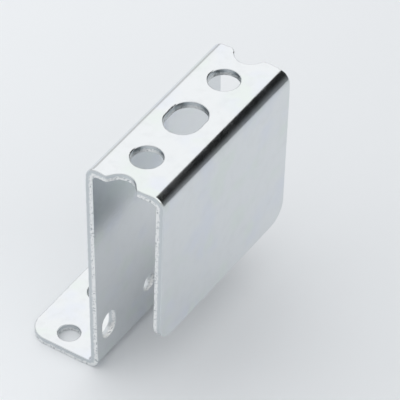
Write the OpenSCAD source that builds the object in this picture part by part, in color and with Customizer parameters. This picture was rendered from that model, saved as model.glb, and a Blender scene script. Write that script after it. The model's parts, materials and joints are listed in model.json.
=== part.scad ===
// Sensor bracket folded from one strip of zinc plated steel sheet.
// Millimetres, +Z up. The foot lies on z = 0 and the origin is where the axis of
// its round hole meets that face. The folds run along Y, and the front end of the
// strip is towards -Y. From -X to +X the strip is the foot, an upright web, a top
// plate and a skirt that hangs down from it.

/* [Sheet] */
// Thickness of the sheet
sheet_t = 2; // [1:0.1:2.5]
// Inner radius of each bend
bend_r = 1.2; // [0.6:0.1:2]
// Length of the strip along its folds
strip_l = 50; // [46:1:120]
// Radius of the free corners of the foot and the skirt
corner_r = 5; // [2:0.5:8]

/* [Foot] */
// Reach of the foot from the outer face of the web
foot_reach = 18; // [16:0.5:40]
// Distance of the foot's holes from the outer face of the web
foot_hole_x = 9.2; // [8.5:0.1:11]
// Diameter of the round foot hole
foot_hole_d = 5.2; // [4:0.1:6.5]
// Width of the foot's slot
foot_slot_w = 5.2; // [4:0.1:6.5]
// Length of the foot's slot from end to end, across the strip
foot_slot_l = 9; // [7:0.5:12]
// Distance from the round foot hole to the slot
foot_pitch = 14.5; // [12:0.5:30]

/* [Web] */
// Height from the underside of the foot to the top
height = 62; // [50:1:120]
// Height of the web's holes above the underside of the foot
web_hole_z = 11; // [9:0.5:16]
// Diameter of the round web hole
web_hole_d = 4.2; // [3:0.1:6]
// Width of the web's slot
web_slot_w = 5; // [3:0.1:6]
// Length of the web's slot from end to end, upright
web_slot_l = 7.2; // [6.5:0.1:9]
// Distance from the web's slot to its round hole
web_pitch = 16; // [12:0.5:30]
// Distance of the first holes in the foot and the web from the front end
first_y = 4.7; // [4.5:0.1:8]

/* [Top and skirt] */
// Clear width between the web and the skirt, under the top plate
channel_w = 16.4; // [16:0.2:40]
// Height of the skirt, from the top down to its free edge
skirt_drop = 44; // [20:1:48]
// Angle by which the skirt is bent past square, towards the web
skirt_lean = 1.8; // [0:0.1:3]

/* [Punched row in the top plate] */
// Diameter of the round holes, and of the notches in both ends
punch_d = 7.3; // [5:0.1:8]
// Distance between the two round holes
punch_pitch = 30; // [26:0.5:34]
// Distance of the row from the outer face of the web
row_x = 9.5; // [9:0.1:11]
// Distance by which the row sits ahead of the middle of the strip
row_shift = 0.2; // [0:0.05:0.5]
// Distance of each notch's centre past the end of the strip, before that shift
notch_out = 0.7; // [0.5:0.05:1.5]
// Angle at which the front notch's sides flare out to the front end
notch_flare = 50; // [45:1:65]
// Radius that blends the rear notch into the rear end
notch_blend_r = 2; // [0.5:0.1:2.5]
// Width of the slot between the round holes
top_slot_w = 8.6; // [6:0.1:9]
// Length of the slot between the round holes, along the strip
top_slot_l = 11; // [10:0.5:16]

/* [Hidden] */

$fn = 96;
// Amount by which each cutter runs past the faces it cuts
past = 1;
// Depth by which a notch's flares or blends run into its punch, so that the two cross
side_bite = 0.002;
bend_out_r = bend_r + sheet_t;
channel_out_w = channel_w + 2 * sheet_t;
foot_flat = foot_reach - bend_r;
web_flat = height - 2 * bend_out_r;
top_flat = channel_out_w - 2 * bend_out_r;
skirt_flat = (skirt_drop - bend_out_r * (1 + sin(skirt_lean))) / cos(skirt_lean);
row_y = strip_l / 2 - row_shift;

// One flat of the section, which runs along +x with its thickness up +y. What
// follows it in the strip is drawn at its far end.
module flat(run) {
    square([run, sheet_t]);
    translate([run, 0]) children();
}

// The stretch of a ring between the bend's inner and outer radius, from the
// bearing 0 to the bearing given
module ring_sector(angle) {
    reach = 2 * bend_out_r;
    half = angle / 2;
    intersection() {
        difference() {
            circle(r = bend_out_r);
            circle(r = bend_r);
        }
        polygon([
            [0, 0],
            [reach, 0],
            [reach * cos(half), reach * sin(half)],
            [reach * cos(angle), reach * sin(angle)]
        ]);
    }
}

// A bend towards the +y side of the flat before it
module bend_up(angle) {
    translate([0, bend_out_r]) {
        rotate(-90) ring_sector(angle);
        rotate(angle) translate([0, -bend_out_r]) children();
    }
}

// A bend towards the -y side of the flat before it
module bend_down(angle) {
    translate([0, -bend_r]) {
        rotate(90 - angle) ring_sector(angle);
        rotate(-angle) translate([0, bend_r]) children();
    }
}

// The folded section in the plane across the strip, with x = 0 on the outer face
// of the web and y = 0 on the underside of the foot
module folded_section() {
    translate([-foot_reach, 0])
        flat(foot_flat)
        bend_up(90)
        flat(web_flat)
        bend_down(90)
        flat(top_flat)
        bend_down(90 + skirt_lean)
        flat(skirt_flat);
}

// A slot with round ends, centred, with its length along x
module slot_outline(w, l) {
    straight = l - w;
    square([straight, w], center = true);
    for (side = [-1, 1])
        translate([side * straight / 2, 0]) circle(d = w);
}

// What is cut away at a corner at the origin of a plate that fills +x and +y
module corner_outline() {
    difference() {
        translate([-past, -past]) square(corner_r + past);
        translate([corner_r, corner_r]) circle(r = corner_r);
    }
}

// An end notch: the round punch, run part way off the plate, whose end is the line
// y = 0 with metal at y > 0 and whose centre lies the distance given outside it.
// Straight sides all but touch the punch and meet the end at sharp corners.
module flared_notch(outside) {
    touch_r = punch_d / 2 - side_bite;
    touch_x = touch_r * sin(notch_flare);
    touch_y = touch_r * cos(notch_flare);
    translate([0, -outside]) {
        circle(d = punch_d);
        for (side = [-1, 1])
            polygon([
                [0, 0],
                [side * touch_x, touch_y],
                [side * (touch_x + (touch_y + past) / tan(notch_flare)), -past],
                [0, -past]
            ]);
    }
}

// The same punch run off the end with a blend on each side, whose centre is inside
// the end, at its own radius from it, and which all but touches the punch
module blended_notch(outside) {
    apart = punch_d / 2 + notch_blend_r - side_bite;
    blend_x = sqrt(pow(apart, 2) - pow(outside + notch_blend_r, 2));
    translate([0, -outside]) circle(d = punch_d);
    for (side = [-1, 1])
        difference() {
            polygon([
                [0, -outside],
                [side * blend_x, notch_blend_r],
                [side * blend_x, -outside - past],
                [0, -outside - past]
            ]);
            translate([side * blend_x, notch_blend_r]) circle(r = notch_blend_r);
        }
}

// Stands an outline up in the plane across X: its x runs along Y and its y up Z
module upright(depth) {
    rotate([90, 0, 90]) linear_extrude(depth) children();
}

// Repeats what it is given at the front end and, mirrored, at the rear end
module both_ends() {
    children();
    translate([0, strip_l, 0]) mirror([0, 1, 0]) children();
}

// The strip folded to its section, before it is cut
module folded_strip() {
    translate([0, strip_l, 0]) rotate([90, 0, 0]) linear_extrude(strip_l) folded_section();
}

// The rounded corners of the foot and of the skirt's free edge
module corner_cuts() {
    both_ends() {
        translate([-foot_reach, 0, -past])
            linear_extrude(sheet_t + 2 * past) corner_outline();
        translate([channel_out_w / 2, 0, height - skirt_drop])
            upright(channel_out_w / 2 + past) corner_outline();
    }
}

// A round hole and a slot across the strip behind it
module foot_cuts() {
    depth = sheet_t + 2 * past;
    translate([-foot_hole_x, first_y, -past]) {
        cylinder(h = depth, d = foot_hole_d);
        translate([0, foot_pitch, 0])
            linear_extrude(depth) slot_outline(foot_slot_w, foot_slot_l);
    }
}

// An upright slot and a round hole behind it
module web_cuts() {
    depth = sheet_t + 2 * past;
    translate([-past, first_y, web_hole_z]) {
        upright(depth) rotate(90) slot_outline(web_slot_w, web_slot_l);
        translate([0, web_pitch, 0]) rotate([0, 90, 0]) cylinder(h = depth, d = web_hole_d);
    }
}

// The row along the top plate: a notch, a hole, a slot, a hole and a notch
module top_cuts() {
    depth = sheet_t + 2 * past;
    translate([row_x, 0, height - sheet_t - past]) {
        for (side = [-1, 1])
            translate([0, row_y + side * punch_pitch / 2, 0])
                cylinder(h = depth, d = punch_d);
        translate([0, row_y, 0])
            linear_extrude(depth) rotate(90) slot_outline(top_slot_w, top_slot_l);
        linear_extrude(depth) flared_notch(notch_out + row_shift);
        translate([0, strip_l, 0]) mirror([0, 1, 0])
            linear_extrude(depth) blended_notch(notch_out - row_shift);
    }
}

module bracket() {
    color([0.80, 0.82, 0.84])
        translate([foot_hole_x, -first_y, 0])
        difference() {
            folded_strip();
            corner_cuts();
            foot_cuts();
            web_cuts();
            top_cuts();
        }
}

bracket();
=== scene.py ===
"""Dresses the sensor bracket: one strip of zinc plated steel sheet, punched and folded four ways.

The strip is worked out flat, as the punch leaves it, with a rolled rim, a polished band and a torn band
on every cut, and is then folded to its section. Its plating is one material, which reads where each point
lay in the flat strip, so that grain and tint run on round the bends.
"""

import json
import logging
import math
from dataclasses import dataclass, field
from enum import Enum
from typing import Any

import bpy
import numpy as np
from mathutils import Matrix, Vector
from mathutils.geometry import delaunay_2d_cdt


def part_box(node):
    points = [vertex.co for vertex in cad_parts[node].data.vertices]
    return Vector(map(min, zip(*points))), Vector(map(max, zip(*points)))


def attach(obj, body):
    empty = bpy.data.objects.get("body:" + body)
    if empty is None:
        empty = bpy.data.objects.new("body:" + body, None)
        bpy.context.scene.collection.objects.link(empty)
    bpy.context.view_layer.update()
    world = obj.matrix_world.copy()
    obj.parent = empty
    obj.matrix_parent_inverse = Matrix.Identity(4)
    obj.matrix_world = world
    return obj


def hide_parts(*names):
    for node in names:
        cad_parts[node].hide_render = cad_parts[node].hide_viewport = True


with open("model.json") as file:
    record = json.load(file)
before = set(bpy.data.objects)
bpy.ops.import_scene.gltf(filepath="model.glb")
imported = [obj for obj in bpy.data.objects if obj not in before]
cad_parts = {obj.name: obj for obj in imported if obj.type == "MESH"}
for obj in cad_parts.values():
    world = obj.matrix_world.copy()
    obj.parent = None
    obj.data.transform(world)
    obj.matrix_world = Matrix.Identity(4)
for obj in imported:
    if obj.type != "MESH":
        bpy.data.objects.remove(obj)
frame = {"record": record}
log = logging.getLogger("sensor_bracket")

Array = np.ndarray
Pair = tuple[float, float]
Triple = tuple[float, float, float]
# metres in a millimetre
MM = 0.001


def linear(hex_colour: str) -> tuple[float, float, float, float]:
    """Turns an sRGB hex colour into the linear values that a shader takes.

    Args:
        hex_colour: six hex digits after a #.

    Returns:
        Red, green, blue and an alpha of 1.
    """
    parts = [int(hex_colour[i:i + 2], 16) / 255 for i in (1, 3, 5)]
    red, green, blue = (c / 12.92 if c <= 0.04045 else ((c + 0.055) / 1.055) ** 2.4 for c in parts)
    return red, green, blue, 1.0


def add(tree: bpy.types.NodeTree, kind: str, inputs: dict[Any, Any] | None = None,
        **settings: Any) -> bpy.types.Node:
    """Adds one node with its settings, values and links.

    Args:
        tree: the node tree that takes it.
        kind: the node's type.
        inputs: for each input socket's name or number, a value or the output socket that feeds it.
        settings: the node's own properties.

    Returns:
        The new node.
    """
    node = tree.nodes.new(kind)
    for name, value in settings.items():
        setattr(node, name, value)
    for key, value in (inputs or {}).items():
        if isinstance(value, bpy.types.NodeSocket):
            tree.links.new(value, node.inputs[key])
        else:
            node.inputs[key].default_value = value
    return node


def put_in_scene(name: str, data: bpy.types.ID) -> bpy.types.Object:
    """Makes an object in the scene.

    Args:
        name: the object's name.
        data: its mesh, lamp or camera.

    Returns:
        The object.
    """
    made = bpy.data.objects.new(name, data)
    bpy.context.scene.collection.objects.link(made)
    return made


def empty_material(name: str) -> tuple[bpy.types.Material, bpy.types.NodeTree]:
    """Makes a material with an empty node tree.

    Args:
        name: the material's name.

    Returns:
        The material and its node tree.
    """
    material = bpy.data.materials.new(name)
    material.use_nodes = True
    material.node_tree.nodes.clear()
    return material, material.node_tree


class Turn(Enum):
    """The way that the strip goes on in its section, seen from the front with the foot to the left."""

    STRAIGHT = 0
    UP = 1
    DOWN = -1


@dataclass(frozen=True)
class Stretch:
    """A flat or a bend of the strip: its size is a length in mm, or an angle in degrees on a bend."""

    turn: Turn
    size: float


class Section:
    """The strip's way through its section, as flats and bends laid end to end.

    A point of the strip has three coordinates in mm: u runs along the unrolled strip from the foot's free
    edge, v along the folds from the front end, and w through the sheet, from the foot's underside up.
    """

    def __init__(self, sheet: float, bend_r: float, stretches: list[Stretch], start: Pair) -> None:
        """Lays the stretches end to end.

        Args:
            sheet: thickness of the sheet.
            bend_r: inner radius of the bends.
            stretches: the flats and bends in order.
            start: x and z of the point where u and w are 0, from which the strip heads along +x.
        """
        self.sheet, self.bend_r = sheet, bend_r
        self.turn = np.array([s.turn.value for s in stretches], float)
        self.angle = np.array([math.radians(s.size) if s.turn.value else 0.0 for s in stretches])
        flats = np.array([0.0 if s.turn.value else s.size for s in stretches])
        self.length = flats + self.angle * (bend_r + sheet / 2)
        self.start_u = np.concatenate([[0.0], np.cumsum(self.length)])
        # distance from the w = 0 side of the strip to the centre of each bend
        self.reach = np.where(self.turn > 0, bend_r + sheet, bend_r)
        self.heading = np.zeros(len(stretches))
        self.origin = np.zeros((len(stretches), 2))
        point, heading = np.array(start, float), 0.0
        for i in range(len(stretches)):
            self.origin[i], self.heading[i] = point, heading
            point = self._walk(np.array([i]), self.length[i:i + 1], np.zeros(1))[0]
            heading += self.turn[i] * self.angle[i]

    @property
    def total(self) -> float:
        """Length of the unrolled strip."""
        return float(self.start_u[-1])

    def _heading_at(self, i: Array, s: Array) -> Array:
        """Heading of the strip a distance s into stretch i: it grows evenly round a bend."""
        return self.heading[i] + self.turn[i] * self.angle[i] * s / self.length[i]

    def _walk(self, i: Array, s: Array, w: Array) -> Array:
        """Points in the section a distance s into stretches i, at depth w.

        On a flat a point is the stretch's origin, plus s along its heading, plus w across it. On a bend of
        reach R it is the origin plus R times (first normal minus normal there) times the turn, plus w
        across the strip there.

        Args:
            i: numbers of the stretches.
            s: distances into them.
            w: depths through the sheet.

        Returns:
            An array of x and z in mm.
        """
        first, now = self.heading[i], self._heading_at(i, s)
        along = np.stack([np.cos(first), np.sin(first)], 1)
        across_first = np.stack([-np.sin(first), np.cos(first)], 1)
        across = np.stack([-np.sin(now), np.cos(now)], 1)
        straight = (s * (self.turn[i] == 0))[:, None] * along
        bent = (self.turn[i] * self.reach[i])[:, None] * (across_first - across)
        return self.origin[i] + straight + bent + w[:, None] * across

    def locate(self, u: Array) -> tuple[Array, Array]:
        """For each u, the number of its stretch and the distance into it."""
        i = np.clip(np.searchsorted(self.start_u, u, side="right") - 1, 0, len(self.length) - 1)
        return i, u - self.start_u[i]

    def fold(self, u: Array, v: Array, w: Array) -> Array:
        """Folds points of the strip into space.

        Args:
            u: place along the unrolled strip.
            v: place along the folds.
            w: depth through the sheet.

        Returns:
            An array of x, y and z in mm.
        """
        i, s = self.locate(u)
        flat = self._walk(i, s, w)
        return np.stack([flat[:, 0], v, flat[:, 1]], 1)

    def across(self, u: Array) -> Array:
        """Directions through the sheet, in the sense of w.

        Args:
            u: place along the unrolled strip.

        Returns:
            A unit vector for each u.
        """
        i, s = self.locate(u)
        heading = self._heading_at(i, s)
        return np.stack([-np.sin(heading), np.zeros_like(u), np.cos(heading)], 1)

    def bends(self) -> list[Pair]:
        """First and last u of each bend."""
        return [(self.start_u[i], self.start_u[i + 1]) for i in np.flatnonzero(self.turn)]

    def stations(self, u_from: float, u_to: float, step: float) -> Array:
        """Places along u, evenly spaced within each stretch.

        Args:
            u_from: the first place.
            u_to: where they end, without a place of its own.
            step: most that they lie apart.

        Returns:
            The places in order.
        """
        # a border this close to either end is taken as that end
        same = 1e-6
        inside = self.start_u[(self.start_u > u_from + same) & (self.start_u < u_to - same)]
        marks = np.concatenate([[u_from], inside, [u_to]])
        counts = np.ceil(np.diff(marks) / step).astype(int)
        spans = zip(marks, marks[1:], counts)
        return np.concatenate([np.linspace(a, b, n, endpoint=False) for a, b, n in spans])


@dataclass(frozen=True)
class Run:
    """Points of a boundary in order, in mm of u and v, with the metal to their left."""

    points: Array
    outward: Array


def straight(points: Array, outward: Pair) -> Run:
    """A straight run through the points given, with one outward direction."""
    return Run(points, np.broadcast_to(np.array(outward, float), points.shape))


def line(a: Pair | Array, b: Pair | Array, step: float) -> Run:
    """A straight run whose outward side is to the right of its heading.

    Args:
        a: its first point.
        b: where it ends, without a point of its own.
        step: most that its points lie apart.

    Returns:
        The run.
    """
    start, way = np.array(a, float), np.subtract(b, a)
    length = float(np.hypot(*way))
    t = np.linspace(0, 1, max(1, math.ceil(length / step)), endpoint=False)
    return straight(start + t[:, None] * way, (way[1] / length, -way[0] / length))


def arc(centre: Pair | Array, radius: float, first: float, last: float, step: float) -> Run:
    """A round run whose outward side is to the right of its heading.

    That is away from the centre where the bearing grows, and towards it where the bearing falls.

    Args:
        centre: its middle.
        radius: its radius.
        first: bearing of its first point, in degrees.
        last: bearing where it ends, without a point of its own.
        step: most that its points lie apart.

    Returns:
        The run.
    """
    count = max(3, math.ceil(abs(math.radians(last - first)) * radius / step))
    bearing = np.radians(np.linspace(first, last, count, endpoint=False))
    spoke = np.stack([np.cos(bearing), np.sin(bearing)], 1)
    return Run(np.array(centre) + radius * spoke, spoke * (1.0 if last > first else -1.0))


def join(*runs: Run) -> Run:
    """One run made of several, end to end."""
    return Run(np.concatenate([r.points for r in runs]), np.concatenate([r.outward for r in runs]))


def corner(point: Pair, before: Pair, after: Pair, crisp: float = 0.03) -> Run:
    """Three points round a sharp outward corner, all drawn back towards the same inset corner.

    Args:
        point: the corner.
        before: unit heading of the run that ends there.
        after: unit heading of the run that starts there.
        crisp: distance of the outer two points from the corner.

    Returns:
        The run. Its outward vectors are the mitre m, for which m . n is 1 with each side's normal n.
    """
    at, first, last = np.array(point), np.array(before), np.array(after)
    normal = np.array([first[1] + last[1], -first[0] - last[0]])
    mitre = normal / (1 + first @ last)
    return Run(np.stack([at - crisp * first, at, at + crisp * last]), np.tile(mitre, (3, 1)))


def slot(centre: Pair, width: float, length: float, along_u: bool, step: float) -> Run:
    """The closed boundary of a slot with round ends, or of a round hole where length equals width.

    Args:
        centre: its middle.
        width: distance between its sides.
        length: distance from end to end.
        along_u: whether it is long in u; otherwise it is long in v.
        step: spacing of the points.

    Returns:
        The run, which goes round with the hole to its right.
    """
    half, r = (length - width) / 2, width / 2
    if half <= 0:
        return arc(centre, r, 360.0, 0.0, step)
    turn, way, left = (0.0, (1.0, 0.0), (0.0, 1.0)) if along_u else (90.0, (0.0, 1.0), (-1.0, 0.0))
    middle, end, side = np.array(centre), half * np.array(way), r * np.array(left)
    return join(
        arc(middle + end, r, turn + 90.0, turn - 90.0, step),
        line(middle + end - side, middle - end - side, step),
        arc(middle - end, r, turn - 90.0, turn - 270.0, step),
        line(middle - end + side, middle + end + side, step),
    )


def ripple(s: Array, around: float, longest: float, shortest: float, rng: np.random.Generator) -> Array:
    """An uneven line that closes on itself: a sum of cosines with random phases, of about unit height.

    Args:
        s: places along a closed boundary.
        around: its whole length.
        longest: longest wave.
        shortest: shortest wave.
        rng: source of the phases.

    Returns:
        One value for each place.
    """
    count = 48
    waves = np.round(around / np.geomspace(shortest, longest, count))
    phase = rng.uniform(0, 2 * math.pi, count)
    return np.cos(2 * math.pi * s[:, None] * waves / around + phase).sum(1) * math.sqrt(2 / count)


@dataclass(frozen=True)
class CutEdge:
    """The form that a punch and die leave on cut sheet, in mm, from the punch's side of the sheet down."""

    roll_width: float = 0.42
    roll_depth: float = 0.34
    polished_to: float = 1.02
    torn_back: float = 0.05
    burr_r: float = 0.11
    # width of the flat border that the faces' triangles leave to the cut
    land: float = 0.85
    # unevenness, as a share of the sizes above, and the waves that it is made of
    wander: float = 0.1
    torn_wander: float = 0.2
    wave_limit: float = 2.0
    longest_wave: float = 5.0
    shortest_waves: Triple = (0.7, 0.5, 0.5)
    pit_depth: float = 0.03
    streak_depth: float = 0.014
    # how steeply pits and streaks grow with the room between points; they are full from one step on
    room_gain: float = 1.3
    # points down each part of the profile, and the shares of cut and torn surface at its last ones
    rim_points: int = 8
    band_points: int = 3
    band_start: float = 0.34
    band_end_torn: float = 0.4
    torn_points: int = 5
    burr_cut: tuple[float, float, float, float] = (0.8, 0.5, 0.2, 0.0)
    burr_torn: tuple[float, float, float, float] = (0.8, 0.4, 0.1, 0.0)

    def profile(self, roll: Array, tear: Array, depth: Array,
                sheet: float) -> tuple[Array, Array, Array, Array]:
        """The edge's profile, once for each point of a boundary.

        It is a quarter ellipse from the face down into the cut, a straight polished band, a torn band
        that eases back by a small cosine step over its upper half, and a quarter circle to the other face.

        Args:
            roll: unevenness of the rolled rim.
            tear: unevenness of the line where the polish ends.
            depth: unevenness of the torn band.
            sheet: thickness of the sheet.

        Returns:
            How far outward each point lies and its w, and its shares of cut surface and of torn surface.
        """
        ones = np.ones_like(roll)[:, None]
        wide = self.roll_width * (1 + self.wander * roll)[:, None]
        deep = self.roll_depth * (1 + self.wander * roll)[:, None]
        polish_w = (sheet - self.polished_to * (1 + self.wander * tear))[:, None]
        back = self.torn_back * (1 + self.torn_wander * depth)[:, None]
        quarter = np.radians(np.linspace(0, 90, self.rim_points))[None, :]
        rim_out, rim_w = wide * (np.sin(quarter) - 1), sheet + deep * (np.cos(quarter) - 1)
        share = np.linspace(self.band_start, 1, self.band_points)[None, :]
        band_w = rim_w[:, -1:] + (polish_w - rim_w[:, -1:]) * share
        fall = np.linspace(1 / self.torn_points, 1, self.torn_points)[None, :]
        torn_w = polish_w + (self.burr_r - polish_w) * fall
        torn_out = -back * (1 - np.cos(math.pi * np.minimum(fall * 2, 1))) / 2
        burr_points = len(self.burr_cut)
        corner = np.radians(np.linspace(90 / burr_points, 90, burr_points))[None, :]
        burr_out = -back + self.burr_r * (np.cos(corner) - 1)
        burr_w = self.burr_r * (1 - np.sin(corner)) * ones
        land = -self.land * ones
        out = np.concatenate([land, rim_out, 0 * band_w, torn_out, burr_out, land], 1)
        w = np.concatenate([sheet * ones, rim_w, band_w, torn_w, burr_w, 0 * ones], 1)
        return out, w, *self.shares()

    def shares(self) -> tuple[Array, Array]:
        """Shares of cut surface and of torn surface down the profile, from one land to the other.

        The share of cut grows as the square of the way round the rim. The tear starts at the last point of
        the polished band, and both fade round the burr.

        Returns:
            The two shares at each point.
        """
        rim = np.linspace(0, 1, self.rim_points) ** 2
        full = np.ones(self.band_points + self.torn_points)
        cut = np.concatenate([[0.0], rim, full, self.burr_cut, [0.0]])
        smooth_part = np.zeros(self.rim_points + self.band_points)
        tear = np.ones(self.torn_points)
        torn = np.concatenate([smooth_part, [self.band_end_torn], tear, self.burr_torn, [0.0]])
        return cut, torn


@dataclass(frozen=True)
class PlateNodes:
    """The plating's node tree, with the sockets of what it reads.

    These are a point's place in the flat strip, its share of cut surface and its share of torn surface.
    """

    tree: bpy.types.NodeTree
    place: Any
    cut: Any
    torn: Any

    def noise(self, size: float, detail: float = 2.0, stretch: Triple = (1.0, 1.0, 1.0)) -> Any:
        """Adds a noise pattern.

        Args:
            size: size of its features in mm.
            detail: how many finer layers lie over it.
            stretch: how much longer its features are along each axis.

        Returns:
            The noise's socket.
        """
        scale = tuple(1 / (size * MM * s) for s in stretch)
        mapped = add(self.tree, "ShaderNodeMapping", {"Vector": self.place, "Scale": scale})
        noise = add(self.tree, "ShaderNodeTexNoise", {
            "Vector": mapped.outputs["Vector"], "Scale": 1.0, "Detail": detail,
        })
        return noise.outputs["Fac"]

    def patches(self, size: float, where: Pair, values: Pair = (0.0, 1.0), detail: float = 2.0) -> Any:
        """Adds a pattern of soft patches: a noise, carried smoothly from one range of values to another.

        Args:
            size: size of its features in mm.
            where: the noise's two values where the patches start and where they are full.
            values: what the pattern is there, and on beyond them.
            detail: how many finer layers lie over it.

        Returns:
            The pattern's socket.
        """
        return add(self.tree, "ShaderNodeMapRange", {
            "Value": self.noise(size, detail), "From Min": where[0], "From Max": where[1],
            "To Min": values[0], "To Max": values[1],
        }, interpolation_type="SMOOTHSTEP").outputs["Result"]

    def layers(self, under: Any, *over: tuple[Any, Any]) -> Any:
        """Lays colours over one another.

        Args:
            under: the lowest colour.
            over: the share and the colour of each layer above it, from the lowest up.

        Returns:
            The socket of the colour that shows.
        """
        for share, colour in over:
            mix = add(self.tree, "ShaderNodeMix", {0: share, 6: under, 7: colour}, data_type="RGBA")
            under = mix.outputs[2]
        return under


@dataclass(frozen=True)
class ZincPlate:
    """Bright zinc plate with a clear blue passivation over cold rolled steel sheet.

    The plating is thin, so the sheet's rolled grain shows through it. The passivation film gives it faint
    patches of blue and green, and some patches are duller. On the sheared edges the polished band is greyer
    and smooth, and the torn band is whiter and has pits, with dark specks of painted shade in them. Patterns
    are sized in mm. The grain and the specks are finer on the real sheet, and are drawn as coarse as they
    need to be to show.
    """

    name: str = "zinc_plated_steel"
    colour: str = "#E1E4E6"
    blue: str = "#DDE1E8"
    green: str = "#DEE4E2"
    dull: str = "#D8DBDD"
    polished_colour: str = "#C8CDD0"
    torn_colour: str = "#EEEFEF"
    # painted shade: the colour of the dark specks in the torn band's pits
    pit_shade_colour: str = "#B6BBBE"
    roughness: float = 0.17
    polished_roughness: float = 0.36
    torn_roughness: float = 0.5
    blue_mm: float = 11.0
    green_mm: float = 8.8
    dull_mm: float = 2.4
    haze_mm: float = 4.08
    grain_mm: float = 0.3
    speck_mm: float = 0.42
    # the noise's values between which each pattern comes in or, for green, goes out
    blue_range: Pair = (0.5, 0.72)
    green_range: Pair = (0.3, 0.5)
    dull_range: Pair = (0.45, 0.75)
    haze_range: Pair = (0.3, 0.75)
    # where the dark specks of painted shade come in on the torn band
    pit_shade_range: Pair = (0.54, 0.66)
    dull_share: float = 0.35
    # roughness of the clearest and of the haziest patch, as shares of the roughness
    haze_spread: Pair = (0.92, 1.15)
    # how much longer grain and streaks are than they are wide
    grain_run: float = 3.0
    streak_run: float = 6.0
    grain_strength: float = 0.06
    grain_depth_mm: float = 0.01
    streak_depth_mm: float = 0.03
    speck_depth_mm: float = 0.05

    def build(self) -> bpy.types.Material:
        """Makes the material.

        Returns:
            The material, which reads the attributes flat_place, cut and torn of the piece.
        """
        material, tree = empty_material(self.name)
        place = add(tree, "ShaderNodeAttribute", attribute_name="flat_place").outputs["Vector"]
        cut = add(tree, "ShaderNodeAttribute", attribute_name="cut").outputs["Fac"]
        torn = add(tree, "ShaderNodeAttribute", attribute_name="torn").outputs["Fac"]
        nodes = PlateNodes(tree, place, cut, torn)
        shader = add(tree, "ShaderNodeBsdfPrincipled", {
            "Base Color": self.tint(nodes),
            "Metallic": 1.0,
            "Roughness": self.haze(nodes),
            "Normal": self.relief(nodes),
        })
        add(tree, "ShaderNodeOutputMaterial", {"Surface": shader.outputs["BSDF"]})
        return material

    def tint(self, nodes: PlateNodes) -> Any:
        """Faint blue, green and dull patches; greyer on polished cuts, white on torn ones, with dark specks
        of painted shade in their pits.

        Args:
            nodes: what takes and feeds it.

        Returns:
            The colour's socket.
        """
        blue = nodes.patches(self.blue_mm, self.blue_range)
        green = nodes.patches(self.green_mm, self.green_range, (1.0, 0.0))
        dull = nodes.patches(self.dull_mm, self.dull_range, (0.0, self.dull_share))
        # mask of the dark specks of painted shade in the torn band's pits
        pit_shade_mask = nodes.patches(self.speck_mm, self.pit_shade_range, detail=1.0)
        face = nodes.layers(linear(self.colour), (blue, linear(self.blue)), (green, linear(self.green)),
                            (dull, linear(self.dull)))
        torn = nodes.layers(linear(self.torn_colour), (pit_shade_mask, linear(self.pit_shade_colour)))
        sheared = nodes.layers(linear(self.polished_colour), (nodes.torn, torn))
        return nodes.layers(face, (nodes.cut, sheared))

    def haze(self, nodes: PlateNodes) -> Any:
        """Roughness: a little uneven on the faces, higher on polished cuts, highest where the metal tore.

        Args:
            nodes: what takes and feeds it.

        Returns:
            The roughness's socket.
        """
        clear, hazy = (self.roughness * share for share in self.haze_spread)
        rough = nodes.patches(self.haze_mm, self.haze_range, (clear, hazy))
        for share, over in ((nodes.cut, self.polished_roughness), (nodes.torn, self.torn_roughness)):
            rough = add(nodes.tree, "ShaderNodeMix", {0: share, 2: rough, 3: over}).outputs[0]
        return rough

    def relief(self, nodes: PlateNodes) -> Any:
        """Fine rolled grain along the strip, streaks down the cuts and specks where the metal tore.

        Args:
            nodes: what takes and feeds it.

        Returns:
            The normal's socket.
        """
        rolled = add(nodes.tree, "ShaderNodeBump", {
            "Height": nodes.noise(self.grain_mm, stretch=(self.grain_run, 1.0, 1.0)),
            "Strength": self.grain_strength, "Distance": self.grain_depth_mm * MM,
        })
        scored = add(nodes.tree, "ShaderNodeBump", {
            "Height": nodes.noise(self.speck_mm, stretch=(1.0, 1.0, self.streak_run)),
            "Strength": nodes.cut, "Distance": self.streak_depth_mm * MM, "Normal": rolled.outputs["Normal"],
        })
        specked = add(nodes.tree, "ShaderNodeBump", {
            "Height": nodes.noise(self.speck_mm, 3.0),
            "Strength": nodes.torn, "Distance": self.speck_depth_mm * MM, "Normal": scored.outputs["Normal"],
        })
        return specked.outputs["Normal"]


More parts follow.
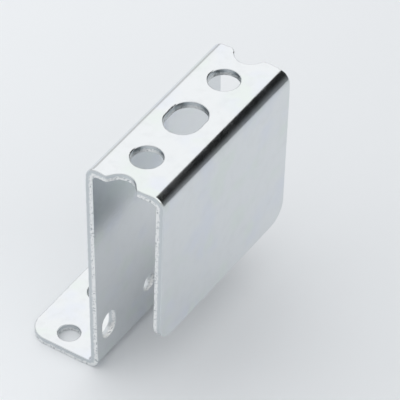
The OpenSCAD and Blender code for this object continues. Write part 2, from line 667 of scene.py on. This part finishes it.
@dataclass
class Skin:
    """The strip's surface while it is gathered, batch by batch, with lengths in mm."""

    points: list[Array] = field(default_factory=list)
    normals: list[Array] = field(default_factory=list)
    places: list[Array] = field(default_factory=list)
    cuts: list[Array] = field(default_factory=list)
    tears: list[Array] = field(default_factory=list)
    faces: list[list[int]] = field(default_factory=list)
    count: int = 0

    def take(self, points: Array, normals: Array, places: Array, cut: Array, torn: Array) -> int:
        """Takes a batch of points with what belongs to them.

        Args:
            points: folded places.
            normals: outward unit vectors.
            places: the same points' places in the flat strip.
            cut: shares of cut surface.
            torn: shares of torn surface.

        Returns:
            The number of the batch's first point.
        """
        first = self.count
        self.points.append(points.reshape(-1, 3))
        self.normals.append(normals.reshape(-1, 3))
        self.places.append(places.reshape(-1, 3))
        self.cuts.append(cut.ravel())
        self.tears.append(torn.ravel())
        self.count += cut.size
        return first

    def mesh(self, name: str, origin: Pair) -> bpy.types.Mesh:
        """Makes the mesh in metres, with its normals and the attributes that the plating reads.

        Args:
            name: the mesh's name.
            origin: x and y of the section's origin, in mm.

        Returns:
            The mesh.
        """
        placed = (np.concatenate(self.points) + (*origin, 0.0)) * MM
        mesh = bpy.data.meshes.new(name)
        mesh.from_pydata(placed.tolist(), [], self.faces)
        mesh.shade_smooth()
        mesh.normals_split_custom_set_from_vertices(np.concatenate(self.normals).tolist())
        flat_place = mesh.attributes.new("flat_place", "FLOAT_VECTOR", "POINT")
        flat_place.data.foreach_set("vector", (np.concatenate(self.places) * MM).astype(np.float32).ravel())
        for attribute_name, values in (("cut", self.cuts), ("torn", self.tears)):
            attribute = mesh.attributes.new(attribute_name, "FLOAT", "POINT")
            attribute.data.foreach_set("value", np.concatenate(values).astype(np.float32))
        return mesh


@dataclass
class Bracket:
    """The folded strip. Its sizes are in mm, in the maker's own terms.

    A hole is its distance from the web's outer face or the foot's underside, its place in v and its radius.
    A slot is its width and its length. The origin is x and y of the web's outer face at the front end.
    """

    strip_l: float
    height: float
    foot_hole: Triple
    web_hole: Triple
    top_hole_r: float
    top_pitch: float
    row_y: float
    row_x: float
    origin: Pair
    sheet: float = 2.0
    bend_r: float = 1.2
    corner_r: float = 5.0
    foot_reach: float = 18.0
    foot_slot: Pair = (5.2, 9.0)
    foot_pitch: float = 14.5
    web_slot: Pair = (5.0, 7.2)
    web_pitch: float = 16.0
    channel_w: float = 16.4
    skirt_drop: float = 44.0
    skirt_lean: float = 1.8
    top_slot: Pair = (8.6, 11.0)
    notch_out: float = 0.7
    notch_flare: float = 50.0
    notch_blend_r: float = 2.0
    # how far a bend draws the strip's ends in on its outside
    bend_pinch: float = 0.16
    # most that points lie apart along boundaries and round bends, and across the faces at the bends
    step: float = 0.24
    row_gap: float = 2.5
    # length left to the three close points round a sharp corner
    corner_gap: float = 0.45
    finish: ZincPlate = ZincPlate()
    edge: CutEdge = CutEdge()
    section: Section = field(init=False)
    foot_u: float = field(init=False)
    web_u: float = field(init=False)
    row_u: float = field(init=False)

    @classmethod
    def from_frame(cls) -> "Bracket":
        """Takes from the frame the sizes and places that it states.

        Returns:
            The bracket, with v = 0 on its front end.
        """
        low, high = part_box("bracket")
        mounts = {m["name"]: m for m in frame["record"]["mounts"]}
        foot, web, top = mounts["foot_hole"], mounts["web_hole"], mounts["top_holes"]
        front = low.y / MM
        web_x = low.x / MM + cls.foot_reach
        return cls(
            strip_l=(high.y - low.y) / MM,
            height=(high.z - low.z) / MM,
            foot_hole=(web_x - foot["pos_m"][0] / MM, foot["pos_m"][1] / MM - front, foot["dims"]["r_mm"]),
            web_hole=(web["pos_m"][2] / MM, web["pos_m"][1] / MM - front, web["dims"]["r_mm"]),
            top_hole_r=top["dims"]["hole_r_mm"],
            top_pitch=top["dims"]["spacing_y_mm"],
            row_y=top["pos_m"][1] / MM - front,
            row_x=top["pos_m"][0] / MM - web_x,
            origin=(web_x, front),
        )

    def __post_init__(self) -> None:
        """Works out the section and the places on the flat strip that follow from the sizes."""
        outer = self.bend_r + self.sheet
        lean = math.radians(self.skirt_lean)
        top_flat = self.channel_w + 2 * self.sheet - 2 * outer
        skirt_flat = (self.skirt_drop - outer * (1 + math.sin(lean))) / math.cos(lean)
        self.section = Section(self.sheet, self.bend_r, [
            Stretch(Turn.STRAIGHT, self.foot_reach - self.bend_r),
            Stretch(Turn.UP, 90.0),
            Stretch(Turn.STRAIGHT, self.height - 2 * outer),
            Stretch(Turn.DOWN, 90.0),
            Stretch(Turn.STRAIGHT, top_flat),
            Stretch(Turn.DOWN, 90.0 + self.skirt_lean),
            Stretch(Turn.STRAIGHT, skirt_flat),
        ], (-self.foot_reach, 0.0))
        # the web and the top plate are the third and the fifth stretch
        web_start, top_start = self.section.start_u[[2, 4]]
        self.foot_u = self.foot_reach - self.foot_hole[0]
        self.web_u = web_start - outer + self.web_hole[0]
        self.row_u = top_start - outer + self.row_x

    def flared_notch(self, outside: float) -> Run:
        """The notch in an end along v = 0, walked along +u: a flare, the punch's arc and a flare.

        Args:
            outside: distance of the punch's centre past the end.

        Returns:
            The run, from one sharp corner to the other.
        """
        r, turn = self.top_hole_r, math.radians(self.notch_flare)
        along, rise = math.cos(turn), math.sin(turn)
        touch_u, touch_v = r * rise, r * along - outside
        wide = touch_u + touch_v / math.tan(turn)
        left, right = self.row_u - wide, self.row_u + wide
        gap = self.corner_gap
        return join(
            straight(np.array([[left - gap, 0.0]]), (0.0, -1.0)),
            corner((left, 0.0), (1.0, 0.0), (along, rise)),
            line((left + gap * along, gap * rise), (self.row_u - touch_u, touch_v), self.step),
            arc((self.row_u, -outside), r, 90.0 + self.notch_flare, 90.0 - self.notch_flare, self.step),
            line((self.row_u + touch_u, touch_v), (right - gap * along, gap * rise), self.step),
            straight(np.array([[right - gap * along, gap * rise]]), (-rise, -along)),
            corner((right, 0.0), (along, -rise), (1.0, 0.0)),
        )

    def blended_notch(self, outside: float) -> Run:
        """The notch in an end along v = 0, walked along +u: a blend, the punch's arc and a blend.

        Args:
            outside: distance of the punch's centre past the end.

        Returns:
            The run, from where the first blend leaves the end to where the second meets it.
        """
        r, blend = self.top_hole_r, self.notch_blend_r
        rise = outside + blend
        reach = math.sqrt((r + blend) ** 2 - rise ** 2)
        touch = math.degrees(math.atan2(rise, reach))
        return join(
            arc((self.row_u - reach, blend), blend, -90.0, -touch, self.step),
            arc((self.row_u, -outside), r, 180.0 - touch, touch, self.step),
            arc((self.row_u + reach, blend), blend, touch - 180.0, -90.0, self.step),
        )

    def end_run(self, u_from: float, u_to: float) -> Run:
        """A straight run along the front end, with its points at the section's stations."""
        u = self.section.stations(u_from, u_to, self.step)
        return straight(np.stack([u, np.zeros_like(u)], 1), (0.0, -1.0))

    def end(self, notch: Run) -> Run:
        """An end along v = 0 between its rounded corners, walked along +u.

        Args:
            notch: the notch in it, which is the same to both sides of the punched row.

        Returns:
            The run.
        """
        first = float(notch.points[0, 0])
        last = 2 * self.row_u - first
        return join(
            self.end_run(self.corner_r, first),
            notch,
            self.end_run(last, self.section.total - self.corner_r),
        )

    def reversed_end(self, front: Run) -> Run:
        """The same end at the rear, mirrored in v and taken backwards, so that it is walked along -u.

        Args:
            front: the end as it would be along v = 0.

        Returns:
            The run.
        """
        points = np.concatenate([front.points[1:], [[self.section.total - self.corner_r, 0.0]]])[::-1]
        outward = np.concatenate([front.outward[1:], [[0.0, -1.0]]])[::-1]
        flip = np.array([1.0, -1.0])
        return Run(np.array([0.0, self.strip_l]) + points * flip, outward * flip)

    def outlines(self) -> list[Run]:
        """The strip's boundaries.

        Returns:
            The outer boundary and then the holes, all with the metal to their left.
        """
        c, wide, far = self.corner_r, self.strip_l, self.section.total
        shift = wide / 2 - self.row_y
        outer = join(
            self.end(self.flared_notch(self.notch_out + shift)),
            arc((far - c, c), c, -90.0, 0.0, self.step),
            line((far, c), (far, wide - c), self.step),
            arc((far - c, wide - c), c, 0.0, 90.0, self.step),
            self.reversed_end(self.end(self.blended_notch(self.notch_out - shift))),
            arc((c, wide - c), c, 90.0, 180.0, self.step),
            line((0.0, wide - c), (0.0, c), self.step),
            arc((c, c), c, 180.0, 270.0, self.step),
        )
        first_y, web_y = self.foot_hole[1], self.web_hole[1]
        foot_d, web_d, top_d = 2 * self.foot_hole[2], 2 * self.web_hole[2], 2 * self.top_hole_r
        half_pitch = self.top_pitch / 2
        return [
            outer,
            slot((self.foot_u, first_y), foot_d, foot_d, True, self.step),
            slot((self.foot_u, first_y + self.foot_pitch), *self.foot_slot, True, self.step),
            slot((self.web_u, web_y - self.web_pitch), *self.web_slot, True, self.step),
            slot((self.web_u, web_y), web_d, web_d, True, self.step),
            slot((self.row_u, self.row_y - half_pitch), top_d, top_d, True, self.step),
            slot((self.row_u, self.row_y), *self.top_slot, False, self.step),
            slot((self.row_u, self.row_y + half_pitch), top_d, top_d, True, self.step),
        ]

    def face_pattern(self, outlines: list[Run]) -> tuple[Array, Array, list[Array]]:
        """Divides a face of the flat strip, inside the land along its boundaries, into triangles.

        Rows of points across the strip keep every triangle within one step of a bend.

        Args:
            outlines: the outer boundary and the holes.

        Returns:
            Points in u and v, triangles, and for each outline the numbers of the points along it.
        """
        loops = [r.points - self.edge.land * r.outward for r in outlines]
        firsts = np.cumsum([0] + [len(loop) for loop in loops])
        faces = [list(range(a, b)) for a, b in zip(firsts, firsts[1:])]
        points, edges = [np.concatenate(loops)], []
        count = int(firsts[-1])
        inner = np.linspace(0, self.strip_l, round(self.strip_l / self.row_gap) + 1)[1:-1]
        for first, last in self.section.bends():
            stations = np.append(self.section.stations(first, last, self.step), last)
            for u in stations:
                ends = [int(np.argmin(np.abs(loops[0] - (u, v)).sum(1)))
                        for v in (self.edge.land, self.strip_l - self.edge.land)]
                row = [ends[0], *range(count, count + len(inner)), ends[1]]
                points.append(np.stack([np.full_like(inner, u), inner], 1))
                edges += list(zip(row, row[1:]))
                count += len(inner)
        flat = [Vector(p) for p in np.concatenate(points)]
        rings = [faces[0], *(hole[::-1] for hole in faces[1:])]
        inside_only, tolerance = 1, 1e-7
        placed, _, triangles, sources, _, owners = delaunay_2d_cdt(
            flat, edges, rings, inside_only, tolerance)
        number = np.zeros(count, int)
        for new, old in enumerate(sources):
            number[old] = new
        kept = np.array([t for t, owner in zip(triangles, owners) if list(owner) == [0]])
        pattern = np.array([tuple(p) for p in placed])
        return pattern, kept, [number[np.array(face)] for face in faces]

    def pinch(self, run: Run, w: Array) -> Array:
        """How far the bends draw the strip's ends in: most outside a bend, and nothing inside it.

        Past a bend it fades as (1 - b squared) squared, with b the way past it in sheet thicknesses.

        Args:
            run: the boundary.
            w: depth of each of its points in each row of the profile.

        Returns:
            A distance in mm for each point and row.
        """
        total = np.zeros_like(w)
        for i in np.flatnonzero(self.section.turn):
            first, last = self.section.start_u[i], self.section.start_u[i + 1]
            u = run.points[:, 0]
            beyond = np.clip(np.maximum(first - u, u - last) / self.sheet, 0, 1)
            near = (1 - beyond ** 2) ** 2 * np.abs(run.outward[:, 1])
            outside = w / self.sheet if self.section.turn[i] < 0 else 1 - w / self.sheet
            total += self.bend_pinch * near[:, None] * outside
        return total

    def roughness_of_cut(self, gaps: Array, cut: Array, torn: Array, wave: Array,
                         rng: np.random.Generator) -> Array:
        """How far inward each point lies in a pit, where the cut tore, or in a streak, where it didn't.

        A pit is a random share of pit_depth. A streak is streak_depth times the wave's way from its lowest
        to its highest value, all the way down the polished band. Both fade out where points lie close
        together, round a sharp corner.

        Args:
            gaps: distance from each point of the boundary to the next.
            cut: share of cut surface in each row.
            torn: share of torn surface in each row.
            wave: an uneven line along the boundary, within wave_limit of 0.
            rng: source of the pits.

        Returns:
            A distance in mm for each point and row, never below 0.
        """
        room = np.minimum(gaps, np.roll(gaps, 1))
        gain, limit = self.edge.room_gain, self.edge.wave_limit
        spread = np.clip(room / self.step * gain - (gain - 1), 0, 1)[:, None]
        pits = self.edge.pit_depth * rng.random((len(gaps), len(torn))) * torn
        streaks = self.edge.streak_depth * (limit + wave)[:, None] / (2 * limit) * cut * (1 - torn)
        return spread * (pits + streaks)

    def wall(self, run: Run, rng: np.random.Generator) -> tuple[Array, Array, Array, Array]:
        """The cut surface along one boundary: the edge's profile carried along it and folded with it.

        Args:
            run: the boundary.
            rng: source of its unevenness.

        Returns:
            For each point of the boundary and each row of the profile, the folded point, the place in the
            flat strip, and the shares of cut and of torn surface.
        """
        gaps = np.linalg.norm(np.roll(run.points, -1, 0) - run.points, axis=1)
        s, around = np.cumsum(gaps) - gaps, float(gaps.sum())
        limit, longest = self.edge.wave_limit, self.edge.longest_wave
        waves = [np.clip(ripple(s, around, longest, shortest, rng), -limit, limit)
                 for shortest in self.edge.shortest_waves]
        out, w, cut, torn = self.edge.profile(*waves, self.sheet)
        out[:, 1:-1] -= self.pinch(run, w)[:, 1:-1]
        out -= self.roughness_of_cut(gaps, cut, torn, waves[1], rng)
        place = run.points[:, None, :] + out[:, :, None] * run.outward[:, None, :]
        u, v, depth = place[..., 0].ravel(), place[..., 1].ravel(), w.ravel()
        folded = self.section.fold(u, v, depth).reshape(*w.shape, 3)
        flat_place = np.stack([u, v, depth], 1).reshape(*w.shape, 3)
        return folded, flat_place, np.broadcast_to(cut, w.shape), np.broadcast_to(torn, w.shape)

    def add_faces(self, skin: Skin, pattern: Array, triangles: Array) -> None:
        """Adds the strip's two faces, the w = 0 side first, each the same pattern folded at its depth.

        Args:
            skin: what takes them.
            pattern: points in u and v.
            triangles: three point numbers each.
        """
        u, v = pattern.T
        none = np.zeros(len(u))
        for w, side in ((0.0, -1.0), (self.sheet, 1.0)):
            depth = np.full(len(u), w)
            normals = side * self.section.across(u)
            skin.take(self.section.fold(u, v, depth), normals, np.stack([u, v, depth], 1), none, none)
        skin.faces += [*(triangles + len(u)).tolist(), *triangles[:, ::-1].tolist()]

    def add_wall(self, skin: Skin, run: Run, upper: Array, lower: Array, rng: np.random.Generator) -> None:
        """Adds the wall along one boundary, as a grid of quads between the two faces.

        A normal is the cross product of the steps down the profile and along the boundary, and at the two
        rows next to the faces it is the face's own.

        Args:
            skin: what takes it.
            run: the boundary.
            upper: numbers of the punch side's points along it.
            lower: numbers of the other side's points along it.
            rng: source of its unevenness.
        """
        folded, flat_place, cut, torn = self.wall(run, rng)
        along = np.roll(folded, -1, 0) - np.roll(folded, 1, 0)
        normal = np.cross(np.gradient(folded, axis=1), along)
        normal /= np.linalg.norm(normal, axis=2, keepdims=True)
        across = self.section.across(flat_place[:, 0, 0])
        normal[:, 1], normal[:, -2] = across, -across
        own = slice(1, cut.shape[1] - 1)
        first = skin.take(folded[:, own], normal[:, own], flat_place[:, own], cut[:, own], torn[:, own])
        numbers = first + np.arange(cut[:, own].size).reshape(len(cut), -1)
        grid = np.concatenate([upper[:, None], numbers, lower[:, None]], 1)
        after = np.roll(grid, -1, 0)
        quads = np.stack([grid[:, :-1], grid[:, 1:], after[:, 1:], after[:, :-1]], 2)
        skin.faces += quads.reshape(-1, 4).tolist()

    def build(self) -> bpy.types.Object:
        """Makes the strip as one closed mesh: two faces, and a wall along every boundary.

        Returns:
            The dressed object.
        """
        outlines = self.outlines()
        pattern, triangles, rims = self.face_pattern(outlines)
        skin = Skin()
        self.add_faces(skin, pattern, triangles)
        for seed, (run, rim) in enumerate(zip(outlines, rims)):
            self.add_wall(skin, run, rim + len(pattern), rim, np.random.default_rng(seed))
        mesh = skin.mesh("bracket_sheet", self.origin)
        mesh.materials.append(self.finish.build())
        piece = put_in_scene("bracket_sheet", mesh)
        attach(piece, "root")
        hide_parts("bracket")
        return piece


@dataclass(frozen=True)
class Viewpoint:
    """The photograph's camera, worked out from the bracket's edges and holes. Lengths are in metres."""

    azimuth: float = 33.673
    elevation: float = 43.423
    target: Triple = (0.0092, 0.0203, 0.025)
    distance: float = 0.7586
    slide: Pair = (0.01082, 0.0053)
    focal_px: float = 3367.7
    image_px: int = 400
    film_mm: float = 36.0
    clip: Pair = (0.01, 20.0)

    def build(self) -> bpy.types.Object:
        """Makes the camera, which looks along the bearing given, past the target by the slide.

        Returns:
            The scene's camera.
        """
        turn, rise = math.radians(self.azimuth), math.radians(self.elevation)
        back = Vector((math.sin(turn) * math.cos(rise), -math.cos(turn) * math.cos(rise), math.sin(rise)))
        right = Vector((math.cos(turn), math.sin(turn), 0.0))
        up = back.cross(right)
        data = bpy.data.cameras.new("camera")
        data.sensor_width = self.film_mm
        data.lens = self.focal_px * self.film_mm / self.image_px
        data.clip_start, data.clip_end = self.clip
        camera = put_in_scene("camera", data)
        place = Vector(self.target) + back * self.distance + right * self.slide[0] + up * self.slide[1]
        axes = Matrix((right, up, back)).transposed().to_4x4()
        camera.matrix_world = Matrix.Translation(place) @ axes
        bpy.context.scene.camera = camera
        return camera


@dataclass(frozen=True)
class Card:
    """A flat card of the studio: its middle, the way that it faces and its sides, in metres."""

    name: str
    centre: Triple
    facing: Triple
    size: Pair

    def build(self, material: bpy.types.Material) -> bpy.types.Object:
        """Makes the card as a rectangle whose first side is level.

        Args:
            material: what it is made of.

        Returns:
            The card.
        """
        facing = Vector(self.facing).normalized()
        level = Vector((0, 0, 1)).cross(facing)
        side = level.normalized() if level.length else Vector((1, 0, 0))
        up = facing.cross(side)
        corners = [Vector(self.centre) + side * (a * self.size[0] / 2) + up * (b * self.size[1] / 2)
                   for a, b in ((-1, -1), (1, -1), (1, 1), (-1, 1))]
        mesh = bpy.data.meshes.new(self.name)
        mesh.from_pydata([tuple(c) for c in corners], [], [(0, 1, 2, 3)])
        mesh.materials.append(material)
        card = put_in_scene(self.name, mesh)
        return card


@dataclass(frozen=True)
class Matt:
    """A matt finish of the studio, which may change to another colour towards the floor; on the cloth that
    lighter foot is painted light.
    """

    name: str
    colour: str
    # a foot colour is painted light: lighter towards the floor, as if lit by light thrown up off it
    foot: str | None = None
    fade: float = 1.0

    def build(self) -> bpy.types.Material:
        """Makes the material.

        Returns:
            The material. It has the foot's colour at the floor, where there is one, and its own colour from
            the height fade, in metres, up.
        """
        material, tree = empty_material(self.name)
        shade: Any = linear(self.colour)
        # painted light: the foot's lighter colour near the floor stands in for light thrown up off the floor
        if self.foot:
            place = add(tree, "ShaderNodeTexCoord").outputs["Object"]
            height = add(tree, "ShaderNodeSeparateXYZ", {"Vector": place}).outputs["Z"]
            share = add(tree, "ShaderNodeMapRange", {
                "Value": height, "From Max": self.fade,
            }, interpolation_type="SMOOTHSTEP").outputs["Result"]
            shade = add(tree, "ShaderNodeMix", {
                0: share, 6: linear(self.foot), 7: shade,
            }, data_type="RGBA").outputs[2]
        surface = add(tree, "ShaderNodeBsdfDiffuse", {"Color": shade})
        add(tree, "ShaderNodeOutputMaterial", {"Surface": surface.outputs[0]})
        return material


@dataclass(frozen=True)
class Studio:
    """A plain pale floor in a white room, under a wide soft lamp, with a cloth flag behind on the right.

    The room and the lamp are given by the brightness of what they show, where 1 is white, so a mirror that
    faces the lamp shows their sum. All rays see the same floor, room and lamp. The cloth is black above and
    greyer towards the floor, which is painted light: its lighter foot stands in for light thrown up off the
    floor, and softens the lower edge of the dark band that the metal mirrors.
    """

    pale: Matt = Matt("pale_floor", "#F0F3F6")
    # black cloth whose lighter foot, #949698 at the floor and gone by 0.3 m, is painted light off the floor
    cloth: Matt = Matt("dark_cloth_painted_bounce", "#0D0E0F", "#949698", 0.3)
    room: str = "#FFFFFF"
    room_light: float = 0.66
    lamp_light: float = 0.49
    lamp_place: Triple = (-0.6, 0.8, 1.2)
    lamp_side: float = 4.5
    # a hair under the foot, so that the two don't share a plane
    floor: Card = Card("floor", (0.0, 0.0, -0.00005), (0.0, 0.0, 1.0), (12.0, 12.0))
    flag: Card = Card("rear_flag", (0.28, 0.29, 0.27), (0.0, -1.0, 0.0), (0.48, 0.54))

    def world(self) -> None:
        """A white room, which lights the set evenly from all round."""
        world = bpy.data.worlds.new("white_room")
        bpy.context.scene.world = world
        world.use_nodes = True
        tree = world.node_tree
        tree.nodes.clear()
        light = add(tree, "ShaderNodeBackground", {"Color": linear(self.room), "Strength": self.room_light})
        add(tree, "ShaderNodeOutputWorld", {"Surface": light.outputs[0]})

    def lamp(self) -> None:
        """A wide soft lamp that faces down; its power is pi times its brightness times its area."""
        data = bpy.data.lights.new("soft_lamp", "AREA")
        data.shape = "SQUARE"
        data.size = self.lamp_side
        data.energy = math.pi * self.lamp_light * self.lamp_side ** 2
        put_in_scene("soft_lamp", data).location = self.lamp_place

    def build(self) -> None:
        """Sets up the room, the lamp, the floor and the flag, which the camera alone doesn't see."""
        self.world()
        self.lamp()
        self.floor.build(self.pale.build())
        self.flag.build(self.cloth.build()).visible_camera = False


def main() -> None:
    """Builds the stage and the bracket."""
    logging.basicConfig(level=logging.INFO, format="%(name)s: %(message)s")
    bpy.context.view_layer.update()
    bpy.context.scene.view_settings.view_transform = "Standard"
    Viewpoint().build()
    Studio().build()
    piece = Bracket.from_frame().build()
    log.info("%s: %d points, %d faces", piece.name, len(piece.data.vertices), len(piece.data.polygons))


if __name__ == "__main__":
    main()
